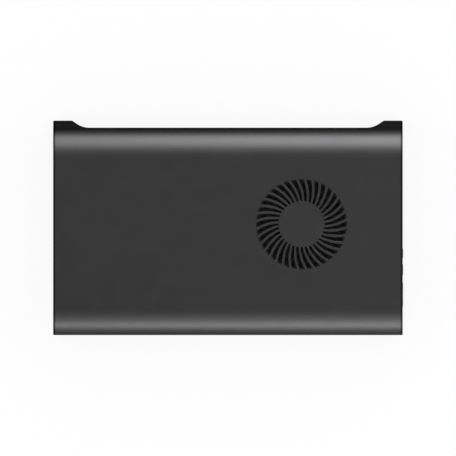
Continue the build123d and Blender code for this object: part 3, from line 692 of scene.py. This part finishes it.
class Housing(SubAssembly):
    """Two covers, end panels, exhaust grille, feet and the screws that hold them."""

    FINISHES = {
        "top_cover": HOUSING,
        "bottom_cover": HOUSING,
        "left_end_panel": PANEL,
        "right_end_panel": PANEL,
        "exhaust_grille": GRILLE,
        "rubber_feet": RUBBER,
        "cover_screws": SCREW,
    }


class Board(SubAssembly):
    """Board with its chips, coils and cans."""

    FINISHES = {
        "mainboard": BOARD,
        "board_screws": SCREW,
        "graphics_package": BOARD,
        "graphics_die": DIE,
        "memory_chips": CHIP,
        "thermal_pads": PAD,
        "power_inductors": CHIP,
        "power_capacitors": CAN,
        "button_switches": SWITCH,
    }


class Cooler(SubAssembly):
    """Cold plate, heat pipes and fins."""

    FINISHES = {
        "cold_plate": COPPER,
        "heat_pipes": COPPER,
        "fin_stack": FINS,
        "cooler_spacers": BRASS,
        "cooler_screws": SCREW,
    }


class Blower(SubAssembly):
    """Blower with its motor and gasket."""

    FINISHES = {
        "fan_housing": BLOWER,
        "fan_cover": BLOWER,
        "inlet_gasket": FOAM,
        "fan_screws": SCREW,
        "fan_bearing": BRONZE,
        "fan_stator": CORE,
        "stator_windings": COPPER,
        "fan_rotor": BLOWER,
        "rotor_magnet": MAGNET,
        "fan_shaft": SHAFT,
    }


@dataclass
class Buttons(SubAssembly):
    """Two push buttons, with paint in the mark that is sunk into the power button.

    Attributes:
        mark_radius_mm: middle radius of the mark's broken ring.
        mark_line_mm: width of the mark's lines.
        mark_gap: half of the ring's gap, in degrees.
        mark_bar_mm: length of the bar in the gap.
        mark_depth_mm: depth of the sunk mark.
        paint_level_mm: depth of the paint's face under the button's face.
        paint_fit_mm: room left all round the paint.
    """

    FINISHES = {"power_button": BUTTON, "mode_button": BUTTON}

    mark_radius_mm: float = 1.45
    mark_line_mm: float = 0.35
    mark_gap: float = 24.0
    mark_bar_mm: float = 1.5
    mark_depth_mm: float = 0.15
    paint_level_mm: float = 0.04
    paint_fit_mm: float = 0.01

    def painted(self, path: np.ndarray) -> Surface:
        """Line of paint along a path on the button's face.

        The band of the path, whose third coordinate is depth, is set between the sunk floor and the paint's level.

        Args:
            path: points across and up from the middle of the button.

        Returns:
            The line, in place.
        """
        low, high = (np.array(corner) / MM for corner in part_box("power_button"))
        height = self.mark_depth_mm - self.paint_level_mm
        grid = band(path, self.mark_line_mm - 2 * self.paint_fit_mm, height, self.paint_fit_mm)
        face = high[0] - self.paint_level_mm - height / 2
        middle = (low + high) / 2
        return Surface.tube(np.stack((face + grid[..., 2], middle[1] + grid[..., 0], middle[2] + grid[..., 1]), -1))

    def shape(self) -> None:
        """Fill the mark: an open arc that starts and ends beside the top, and an upright bar."""
        angle = np.radians(np.linspace(self.mark_gap, FULL_TURN - self.mark_gap, MARK_STEPS) + UPWARD)
        arc = self.mark_radius_mm * np.stack((np.cos(angle), np.sin(angle)), -1)
        reach = self.mark_bar_mm / 2 - self.paint_fit_mm
        heights = self.mark_radius_mm + np.linspace(-reach, reach, BAR_STEPS)
        bar = np.stack((np.zeros_like(heights), heights), -1)
        Surface.joined([self.painted(arc), self.painted(bar)]).piece("power_mark", PAINT, Body.POWER_KEY)


@dataclass(frozen=True)
class ContactRow:
    """Row of contacts on one side of a tongue.

    Attributes:
        side: side of the tongue.
        count: number of contacts.
        pitch_mm: spacing.
        width_mm: width of a contact.
        bow_mm: height of the bow of a sprung contact.
    """

    side: Side
    count: int
    pitch_mm: float
    width_mm: float
    bow_mm: float = 0.0


@dataclass
class Socket(SubAssembly):
    """Socket on the board, placed by its sleeve.

    Points of its pieces are first worked out as depth behind the mouth, place across it and height over its middle.

    Attributes:
        name: name that its pieces start with.
        end: end of the body that it faces.
        shell: node of the sleeve.
        insert: node of the moulding.
        mouth: outline of the mouth.
        width_mm: width of the sleeve.
        height_mm: height of the sleeve.
        cavity_mm: depth of the room behind the mouth.
        wall_mm: wall of the sleeve.
        taper_mm: size of the slanted or cut corners.
        rim_mm: radius of the rolled rim, or 0 for none.
        corner_mm: radius of the rim's corners.
        flat_mm: half of the straight run that an oval rim keeps at each side.
    """

    name: str
    end: End
    shell: str
    insert: str
    mouth: Mouth
    width_mm: float
    height_mm: float
    cavity_mm: float
    wall_mm: float = 0.4
    taper_mm: float = 2.0
    rim_mm: float = 0.2
    corner_mm: float = 0.4
    flat_mm: float = 0.01

    def finishes(self) -> dict[str, Finish]:
        """Finish of each node of the group."""
        return {self.shell: SOCKET, self.insert: INSERT}

    def placed(self, surface: Surface) -> Surface:
        """Copies of a surface in the sleeve, or in both sleeves of a pair.

        Args:
            surface: surface as depth, place across and height.

        Returns:
            The copies, in place.
        """
        low, high = (np.array(corner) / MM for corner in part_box(self.shell))
        half = self.width_mm / 2
        middles = np.unique(np.round((low[1] + half, high[1] - half), PLACE_DECIMALS))
        mouth_x = high[0] if self.end is End.RIGHT else low[0]
        depth, across, up = surface.points.T
        points = np.stack((-self.end.value * depth, self.end.value * across, up), -1)
        shifts = np.array([(mouth_x, y, (low[2] + high[2]) / 2) for y in middles])
        return Surface(points, surface.faces).outward().copies(shifts)

    def outline(self) -> np.ndarray:
        """Corners of the mouth, along the middle of the sleeve's wall.

        Returns:
            Corners as place across and height.
        """
        right, top = (self.width_mm - self.wall_mm) / 2, (self.height_mm - self.wall_mm) / 2
        low, inner = self.taper_mm - top, right - self.taper_mm
        if self.mouth is Mouth.TAPERED:
            return np.array([(right, top), (-right, top), (-right, low), (-inner, -top), (inner, -top), (right, low)])
        if self.mouth is Mouth.NOTCHED:
            return np.array([(right, top), (-right, top), (-right, low), (-inner, -top), (right, -top)])
        return np.array([(right, top), (-right, top), (-right, -top), (right, -top)])

    def rim(self) -> Surface:
        """Rolled rim on the sleeve's front edge: a round bead along the mouth's outline, at no depth.

        Returns:
            The rim as depth, place across and height.
        """
        oval = (self.height_mm - self.wall_mm) / 2 - self.flat_mm
        radius = oval if self.mouth is Mouth.OVAL else self.corner_mm
        grid = bead(rounded(self.outline(), radius), self.rim_mm)
        return Surface.ring(grid[..., [2, 0, 1]])

    def ribbon(self, path: np.ndarray, thickness: float, width: float, places: np.ndarray) -> Surface:
        """Row of like strips of sheet metal.

        Each is a band along a path of depth and height.

        Args:
            path: points as depth and height.
            thickness: thickness of the sheet.
            width: width of a strip.
            places: places across the mouth.

        Returns:
            The strips as depth, place across and height.
        """
        grid = band(path, thickness, width, thickness * CUT_SHARE)
        strip = Surface.tube(grid[..., [0, 2, 1]])
        return strip.copies(np.stack((np.zeros_like(places), places, np.zeros_like(places)), -1))

    def bowed(self, span_mm: Pair, face_mm: float, bow_mm: float) -> np.ndarray:
        """Path over a span of depth that bows off a face, as the squared sine of pi times the share of the span."""
        bow = bow_mm * np.sin(np.linspace(0.0, math.pi, SPRING_STEPS)) ** 2
        return np.stack((np.linspace(*span_mm, SPRING_STEPS), face_mm + bow), -1)

    def shape(self) -> None:
        """Add the rim."""
        if self.rim_mm > 0.0:
            self.placed(self.rim()).piece(f"{self.name}_rim", SOCKET)


@dataclass
class TongueSocket(Socket):
    """Socket with contacts on one or more flat tongues, and springs in its sleeve.

    Attributes:
        tongue_mm: thickness of a tongue.
        tongue_levels_mm: heights of the tongues over the middle.
        rows: rows of contacts on each tongue.
        setback_mm: depth of the tongues' tips.
        contact_start_mm: distance of the contacts from the tips.
        contact_mm: thickness of the contacts.
        contact_ramp_mm: length over which a contact rises out of the tongue.
        contact_sink: depth of a contact's middle in the tongue at its tip, in thicknesses.
        contact_root_mm: length by which a contact goes into the moulding.
        bow_lead: power of the share of a contact's length that moves its bow towards the tip.
        spring_places_mm: places of the sleeve's springs, across the mouth.
        spring_faces_mm: height and inward way of each face that carries springs.
        spring_span_mm: depths at which a spring starts and ends.
        spring_width_mm: width of a spring.
        spring_bow_mm: height of its bow.
        spring_sheet_mm: thickness of its sheet.
    """

    tongue_mm: float = 1.0
    tongue_levels_mm: tuple[float, ...] = (0.0,)
    rows: tuple[ContactRow, ...] = ()
    setback_mm: float = 0.8
    contact_start_mm: float = 0.35
    contact_mm: float = 0.16
    contact_ramp_mm: float = 0.6
    contact_sink: float = 0.75
    contact_root_mm: float = 0.3
    bow_lead: float = 0.7
    spring_places_mm: tuple[float, ...] = ()
    spring_faces_mm: tuple[tuple[float, Side], ...] = ()
    spring_span_mm: Pair = (0.6, 5.4)
    spring_width_mm: float = 2.0
    spring_bow_mm: float = 0.5
    spring_sheet_mm: float = 0.2

    def contacts(self, contact_row: ContactRow, level: float) -> Surface:
        """One row of contacts.

        In its own thicknesses, a contact's middle lies 3s^2 - 2s^3, less the sink, over the face of the tongue, where s
        is the share of the ramp. A sprung contact adds a bow, the squared sine of a power of the share of its length.

        Args:
            contact_row: the row.
            level: height of the tongue over the middle.

        Returns:
            The row as depth, place across and height.
        """
        start = self.setback_mm + self.contact_start_mm
        share = np.linspace(0.0, 1.0, CONTACT_STEPS)
        depth = start + share * (self.cavity_mm + self.contact_root_mm - start)
        ramp = np.clip((depth - start) / self.contact_ramp_mm, 0.0, 1.0)
        rise = self.contact_mm * (3 * ramp**2 - 2 * ramp**3 - self.contact_sink)
        bow = contact_row.bow_mm * np.sin(share**self.bow_lead * math.pi) ** 2
        height = level + contact_row.side.value * (self.tongue_mm / 2 + rise + bow)
        places = row(contact_row.count, contact_row.pitch_mm)
        return self.ribbon(np.stack((depth, height), -1), self.contact_mm, contact_row.width_mm, places)

    def springs(self, face_mm: float, inward: Side) -> Surface:
        """Springs of the sleeve on one of its faces: strips that bow inwards."""
        path = self.bowed(self.spring_span_mm, face_mm, inward.value * self.spring_bow_mm)
        return self.ribbon(path, self.spring_sheet_mm, self.spring_width_mm, np.array(self.spring_places_mm))

    def shape(self) -> None:
        """Add the rim, the contacts and the springs."""
        super().shape()
        lines = [self.contacts(line, level) for level in self.tongue_levels_mm for line in self.rows]
        self.placed(Surface.joined(lines)).piece(f"{self.name}_contacts", CONTACT)
        if self.spring_faces_mm:
            springs = [self.springs(face, way) for face, way in self.spring_faces_mm]
            self.placed(Surface.joined(springs)).piece(f"{self.name}_springs", SOCKET)


@dataclass
class NetworkSocket(Socket):
    """Network socket with eight bent contact wires over its port.

    Attributes:
        wire_count: number of wires.
        wire_pitch_mm: spacing of the wires.
        wire_mm: thickness and width of a wire.
        wire_root_mm: length by which a wire goes into the moulding.
        ceiling_mm: height of the port's ceiling over the middle.
        wire_drop_mm: distance of the wires' straight runs under the ceiling.
        bend_depth_mm: depth of the bend's middle.
        bend_mm: radius of the bend.
        bend_turn: angle of the bend, in degrees.
        slant_mm: length of the slanted run.
    """

    wire_count: int = 8
    wire_pitch_mm: float = 1.02
    wire_mm: Pair = (0.3, 0.45)
    wire_root_mm: float = 0.3
    ceiling_mm: float = 4.6
    wire_drop_mm: float = 0.35
    bend_depth_mm: float = 3.0
    bend_mm: float = 0.7
    bend_turn: float = 155.0
    slant_mm: float = 5.6

    def wires(self) -> Surface:
        """Contact wires: a run under the ceiling towards the mouth, a bend, and a slanted run back into the port.

        The bend's points turn about its middle, from straight above it, by even steps of the angle.

        Returns:
            The wires as depth, place across and height.
        """
        high = self.ceiling_mm - self.wire_drop_mm
        depth = np.linspace(self.cavity_mm + self.wire_root_mm, self.bend_depth_mm, RUN_STEPS)
        straight = np.stack((depth, np.full_like(depth, high)), -1)
        angle = np.radians(np.linspace(0.0, self.bend_turn, BEND_STEPS) + UPWARD)[1:]
        arms = self.bend_mm * np.stack((np.cos(angle), np.sin(angle)), -1)
        bend = np.array((self.bend_depth_mm, high - self.bend_mm)) + arms
        way = np.array((-math.sin(angle[-1]), math.cos(angle[-1])))
        slant = bend[-1] + np.linspace(0.0, self.slant_mm, SLANT_STEPS)[1:, None] * way
        path = np.concatenate((straight, bend, slant))
        return self.ribbon(path, *self.wire_mm, row(self.wire_count, self.wire_pitch_mm))

    def shape(self) -> None:
        """Add the rim and the wires."""
        super().shape()
        self.placed(self.wires()).piece(f"{self.name}_contacts", CONTACT)


@dataclass
class PowerInlet(Socket):
    """Round power inlet with a nose on its pin and a leaf spring in its bore.

    Attributes:
        pin_mm: radius of the pin.
        pin_depth_mm: depth of the pin's flat end.
        nose_mm: length of the nose.
        nose_turn: angle of the nose's last ring, in degrees.
        bore_mm: radius of the bore.
        leaf_span_mm: depths at which the leaf starts and ends.
        leaf_mm: thickness and width of the leaf.
        leaf_bow_mm: height of its bow.
    """

    pin_mm: float = 1.25
    pin_depth_mm: float = 0.8
    nose_mm: float = 0.5
    nose_turn: float = 84.0
    bore_mm: float = 3.3
    leaf_span_mm: Pair = (1.2, 7.0)
    leaf_mm: Pair = (0.2, 1.8)
    leaf_bow_mm: float = 0.6

    def finishes(self) -> dict[str, Finish]:
        """Finish of each node of the group."""
        return {self.shell: INSERT, self.insert: PIN}

    def nose(self) -> Surface:
        """Nose of the pin: circles whose radius is the cosine, and whose distance is the sine, of an even angle.

        Returns:
            The nose as depth, place across and height.
        """
        rise = np.radians(np.linspace(0.0, self.nose_turn, NOSE_RINGS))[:, None]
        angle = (np.arange(NOSE_SIDES) * 2 * math.pi / NOSE_SIDES)[None, :]
        radius = self.pin_mm * np.cos(rise)
        depth = np.broadcast_to(self.pin_depth_mm - self.nose_mm * np.sin(rise), (NOSE_RINGS, NOSE_SIDES))
        return Surface.tube(np.stack((depth, radius * np.cos(angle), radius * np.sin(angle)), -1))

    def leaf(self) -> Surface:
        """Leaf spring on the floor of the bore: a strip that bows upwards."""
        path = self.bowed(self.leaf_span_mm, self.leaf_mm[0] - self.bore_mm, self.leaf_bow_mm)
        return self.ribbon(path, *self.leaf_mm, np.zeros(1))

    def shape(self) -> None:
        """Add the nose and the leaf."""
        self.placed(self.nose()).piece(f"{self.name}_nose", PIN)
        self.placed(self.leaf()).piece(f"{self.name}_leaf", SOCKET)


TYPE_A = TongueSocket(
    "type_a", End.RIGHT, "type_a_shell", "type_a_insert", Mouth.BOX, 13.5, 15.6, 9.0, rim_mm=0.0,
    tongue_mm=1.9, tongue_levels_mm=(5.75, -3.75), rows=(ContactRow(Side.LOWER, 4, 2.3, 1.0, 0.5),),
    spring_places_mm=(-3.0, 3.0), spring_faces_mm=((7.4, Side.LOWER), (-7.4, Side.UPPER)), spring_bow_mm=0.4,
)
TYPE_C = TongueSocket(
    "type_c", End.RIGHT, "type_c_shell", "type_c_insert", Mouth.OVAL, 9.0, 3.3, 6.2, tongue_mm=0.7,
    rows=(ContactRow(Side.UPPER, 12, 0.5, 0.28), ContactRow(Side.LOWER, 12, 0.5, 0.28)),
)
LINK = TongueSocket(
    "link", End.RIGHT, "link_shell", "link_insert", Mouth.BOX, 14.0, 4.8, 7.0, tongue_mm=1.0,
    rows=(ContactRow(Side.UPPER, 21, 0.48, 0.26), ContactRow(Side.LOWER, 21, 0.48, 0.26)),
)
NETWORK = NetworkSocket(
    "network", End.RIGHT, "network_shield", "network_insert", Mouth.BOX, 16.0, 13.5, 11.5,
)
VIDEO = TongueSocket(
    "video", End.LEFT, "video_shells", "video_inserts", Mouth.TAPERED, 15.0, 5.6, 8.6, tongue_mm=1.2,
    rows=(ContactRow(Side.UPPER, 10, 1.0, 0.5), ContactRow(Side.LOWER, 9, 1.0, 0.5)),
    spring_places_mm=(-3.6, 3.6), spring_faces_mm=((2.4, Side.LOWER), (-2.4, Side.UPPER)), spring_width_mm=1.6,
)
DISPLAY = TongueSocket(
    "display", End.LEFT, "display_shells", "display_inserts", Mouth.NOTCHED, 16.6, 5.6, 9.0, taper_mm=2.2,
    tongue_mm=1.3, rows=(ContactRow(Side.UPPER, 10, 1.1, 0.55), ContactRow(Side.LOWER, 10, 1.1, 0.55)),
    spring_places_mm=(-4.6, 4.6), spring_faces_mm=((2.4, Side.LOWER),), spring_width_mm=1.8,
)
POWER = PowerInlet(
    "power_inlet", End.LEFT, "power_inlet_body", "power_inlet_pin", Mouth.BOX, 10.0, 11.0, 9.0,
)


@dataclass(frozen=True)
class LightWall:
    """Upright soft light beside the body.

    Attributes:
        name: name of the lamp.
        side: side of the body on which it stands.
        low_mm: height of its lower edge.
        high_mm: height of its upper edge.
        level: brightness of its face, where 1 is white.
        shift_mm: shift of its middle to the right.
    """

    name: str
    side: Wall
    low_mm: float
    high_mm: float
    level: float
    shift_mm: float


@dataclass
class Studio:
    """Camera, lamps, floor and background.

    Attributes:
        view_width_mm: width of the picture, which has no perspective.
        camera_mm: place of the camera.
        walls: light walls along the rear and front.
        wall_length_mm: length of the walls.
        wall_distance_mm: distance of the walls from the middle of the body.
        matt_share: share of the walls' level that lights matt surfaces.
        floor_mm: size of the floor.
        floor_grey: colour of the floor, where 1 is white.
        floor_rough: roughness of the floor.
        floor_share: share of plain white in what the camera sees of the floor; the rest keeps the shadow.
        room_level: brightness of the room and its background, where 1 is white.
        card_mm: size of the card overhead.
        card_height_mm: height of the card.
        card_level: brightness of the card, where 1 is white.
    """

    view_width_mm: float = 256.75
    camera_mm: Triple = (0.045, -0.09, 2000.0)
    walls: tuple[LightWall, ...] = (
        LightWall("rear_wall", Wall.REAR, 110.0, 1100.0, 10.6, 670.0),
        LightWall("front_wall", Wall.FRONT, 20.0, 430.0, 9.0, 590.0),
        LightWall("front_upper", Wall.FRONT, 430.0, 1600.0, 2.5, 900.0),
    )
    wall_length_mm: float = 1600.0
    wall_distance_mm: float = 1000.0
    matt_share: float = 0.06
    floor_mm: float = 20000.0
    floor_grey: float = 0.93
    floor_rough: float = 0.9
    floor_share: float = 0.88
    room_level: float = 1.0
    card_mm: float = 4000.0
    card_height_mm: float = 3000.0
    card_level: float = 0.57

    def camera(self) -> None:
        """Set the camera over the body, looking straight down with the exhaust at the top of the picture."""
        data = bpy.data.cameras.new("plan_camera")
        data.type = "ORTHO"
        data.ortho_scale = self.view_width_mm * MM
        camera = bpy.data.objects.new("plan_camera", data)
        camera.location = tuple(value * MM for value in self.camera_mm)
        bpy.context.scene.collection.objects.link(camera)
        bpy.context.scene.camera = camera

    def lamp(self, wall: LightWall, matt: bool) -> None:
        """Set one light wall beside the body, facing it, for either matt or shiny surfaces.

        Its power is pi times its area times its level.

        Args:
            wall: the wall.
            matt: whether the lamp lights matt surfaces, at a plain level, or shows in shiny ones.
        """
        name = f"{wall.name}_matt" if matt else wall.name
        data = bpy.data.lights.new(name, "AREA")
        data.shape = "RECTANGLE"
        data.size = self.wall_length_mm * MM
        data.size_y = (wall.high_mm - wall.low_mm) * MM
        data.energy = math.pi * data.size * data.size_y * wall.level * (self.matt_share if matt else 1.0)
        lamp = bpy.data.objects.new(name, data)
        middle = (wall.low_mm + wall.high_mm) / 2
        lamp.location = (wall.shift_mm * MM, wall.side.value * self.wall_distance_mm * MM, middle * MM)
        lamp.rotation_euler = (-wall.side.value * math.pi / 2, 0.0, 0.0)
        lamp.visible_camera = False
        lamp.visible_diffuse = matt
        lamp.visible_glossy = not matt
        bpy.context.scene.collection.objects.link(lamp)

    def sheet(self, name: str, size_mm: float, height_mm: float) -> bpy.types.Object:
        """Lay a square, level sheet over the middle of the body's plan.

        Args:
            name: name of the sheet.
            size_mm: length of its sides.
            height_mm: height over the floor.

        Returns:
            The sheet, which belongs to the stage.
        """
        corners = np.array([(-1, -1), (1, -1), (1, 1), (-1, 1)]) * size_mm / 2
        points = np.column_stack((corners, np.full(len(corners), height_mm))) * MM
        mesh = bpy.data.meshes.new(name)
        mesh.from_pydata(points.tolist(), [], [(0, 1, 2, 3)])
        sheet = bpy.data.objects.new(name, mesh)
        bpy.context.scene.collection.objects.link(sheet)
        return sheet

    def floor(self) -> None:
        """Lay the floor: white where the background shows, with a share of shaded white that keeps the shadow."""
        material = bpy.data.materials.new("floor_white")
        graph = NodeGraph(material)
        colour = (self.floor_grey, self.floor_grey, self.floor_grey, 1.0)
        graph.feed(graph.shader, {"Base Color": colour, "Roughness": self.floor_rough})
        glow = graph.add("ShaderNodeEmission", {"Strength": 1.0})
        share = graph.add("ShaderNodeMath", {0: graph.background_rays(), 1: self.floor_share}, operation="MULTIPLY")
        values = {0: share.outputs[0], 1: graph.shader.outputs[0], 2: glow.outputs[0]}
        mix = graph.add("ShaderNodeMixShader", values)
        graph.show(mix.outputs[0])
        self.sheet("floor", self.floor_mm, 0.0).data.materials.append(material)

    def card(self) -> None:
        """Hang a grey card overhead that only shows in shiny surfaces, so that the flat top is not washed out."""
        material = bpy.data.materials.new("card_grey")
        graph = NodeGraph(material)
        graph.show(graph.add("ShaderNodeEmission", {"Strength": self.card_level}).outputs[0])
        card = self.sheet("card", self.card_mm, self.card_height_mm)
        card.data.materials.append(material)
        card.visible_camera = False
        card.visible_diffuse = False
        card.visible_shadow = False

    def room(self) -> None:
        """Light the room evenly, with a white background."""
        world = bpy.data.worlds.new("studio_room")
        bpy.context.scene.world = world
        graph = NodeGraph(world)
        graph.feed(graph.shader, {"Color": (1.0, 1.0, 1.0, 1.0), "Strength": self.room_level})

    def build(self) -> None:
        """Set up the whole studio."""
        bpy.context.scene.view_settings.view_transform = "Standard"
        self.camera()
        for wall in self.walls:
            for matt in (False, True):
                self.lamp(wall, matt)
        self.floor()
        self.card()
        self.room()
        log.info("studio set")


def clear_startup() -> None:
    """Take away the objects that an empty Blender file starts with."""
    kept = set(frame["nodes"].values()) | set(frame["bodies"].values())
    for spare in [o for o in bpy.data.objects if o not in kept]:
        bpy.data.objects.remove(spare)


def main() -> None:
    """Build the scene."""
    logging.basicConfig(level=logging.INFO, format="%(message)s")
    clear_startup()
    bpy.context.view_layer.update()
    groups = [Housing(), Board(), Cooler(), Blower(), Buttons()]
    groups += [TYPE_A, TYPE_C, LINK, NETWORK, VIDEO, DISPLAY, POWER]
    for group in groups:
        group.build()
    Studio().build()


if __name__ == "__main__":
    main()
